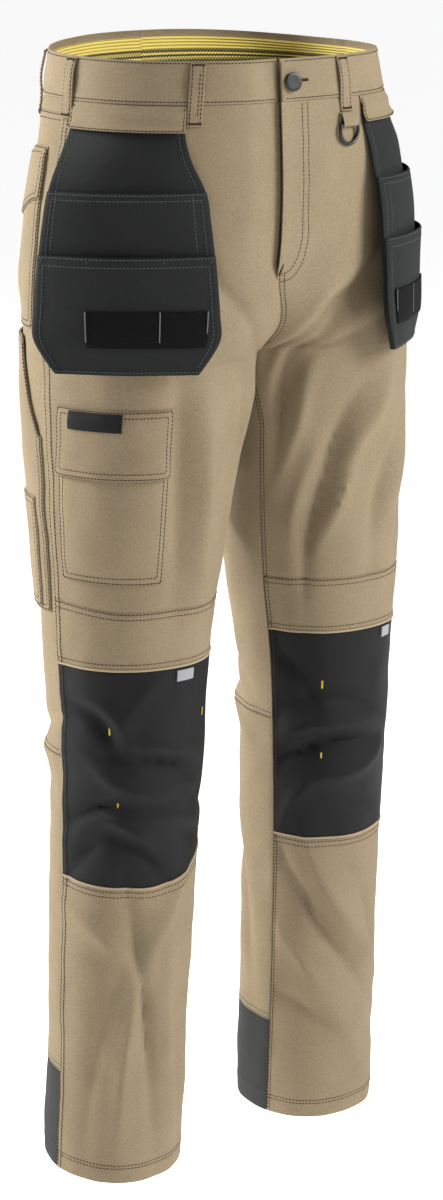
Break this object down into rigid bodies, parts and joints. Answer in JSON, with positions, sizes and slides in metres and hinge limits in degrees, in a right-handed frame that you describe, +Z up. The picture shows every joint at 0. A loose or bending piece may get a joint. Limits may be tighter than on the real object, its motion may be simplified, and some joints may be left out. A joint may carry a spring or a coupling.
{
  "type": "work trousers",
  "caption": "Full-length work trousers with hanging tool pouches at the hips, a thigh pocket, dark knee panels and a metal ring, filled out as if worn.",
  "frame": {"origin": "centre of the waist rim, where a wearer or a hanger holds the trousers", "axes": "+Z up from hem to waist, -Y the way the front faces, +X the wearer's left"},
  "size_m": [0.4375, 0.2622, 1.0666],
  "materials": {
    "khaki_twill": "matt brushed cotton twill",
    "charcoal_canvas": "matt plain-weave canvas",
    "grey_heel_canvas": "matt plain-weave canvas",
    "yellow_elastic": "ribbed elastic",
    "light_grey_tab": "woven tape",
    "black_label": "satin woven label, blank",
    "dark_metal": "dark gunmetal"
  },
  "bodies": {
    "trousers": {"back_flap_left": "khaki_twill", "back_flap_right": "khaki_twill", "back_left": "khaki_twill", "back_lower_left": "khaki_twill", "back_lower_right": "khaki_twill", "back_pocket_left": "khaki_twill", "back_pocket_right": "khaki_twill", "back_right": "khaki_twill", "belt_loop_back_left": "khaki_twill", "belt_loop_back_middle": "khaki_twill", "belt_loop_back_right": "khaki_twill", "belt_loop_front_left": "khaki_twill", "belt_loop_front_right": "khaki_twill", "belt_loop_side_left": "khaki_twill", "belt_loop_side_right": "khaki_twill", "cargo_flap": "khaki_twill", "cargo_label": "black_label", "cargo_pocket": "khaki_twill", "d_ring_tab": "khaki_twill", "fly_shield": "khaki_twill", "front_left": "khaki_twill", "front_right": "khaki_twill", "heel_patch_left": "grey_heel_canvas", "heel_patch_right": "grey_heel_canvas", "hip_flap_left": "khaki_twill", "hip_flap_right": "khaki_twill", "holster_left": "charcoal_canvas", "holster_right": "charcoal_canvas", "knee_band_left": "khaki_twill", "knee_band_right": "khaki_twill", "knee_panel_left": "charcoal_canvas", "knee_panel_right": "charcoal_canvas", "knee_tab_left": "light_grey_tab", "knee_tab_right": "light_grey_tab", "lower_pouch_left": "charcoal_canvas", "lower_pouch_right": "charcoal_canvas", "pouch_webbing_left": "charcoal_canvas", "pouch_webbing_right": "charcoal_canvas", "ruler_pocket": "khaki_twill", "shin_left": "khaki_twill", "shin_right": "khaki_twill", "tool_pocket": "khaki_twill", "upper_pouch_left": "charcoal_canvas", "upper_pouch_right": "charcoal_canvas", "waist_button": "dark_metal", "waist_grip_left": "yellow_elastic", "waist_grip_right": "yellow_elastic", "waistband_left": "khaki_twill", "waistband_right": "khaki_twill", "waistband_underlap": "khaki_twill", "yoke_left": "khaki_twill", "yoke_right": "khaki_twill"},
    "ring": {"d_ring": "dark_metal"}
  },
  "joints": [
    {"name": "ring_swing", "type": "hinge", "parent": "trousers", "child": "ring", "pos_m": [0.05965, -0.12254, -0.06313], "axis": [-0.9821, -0.1881, 0], "range_deg": [0, 140]}
  ]
}
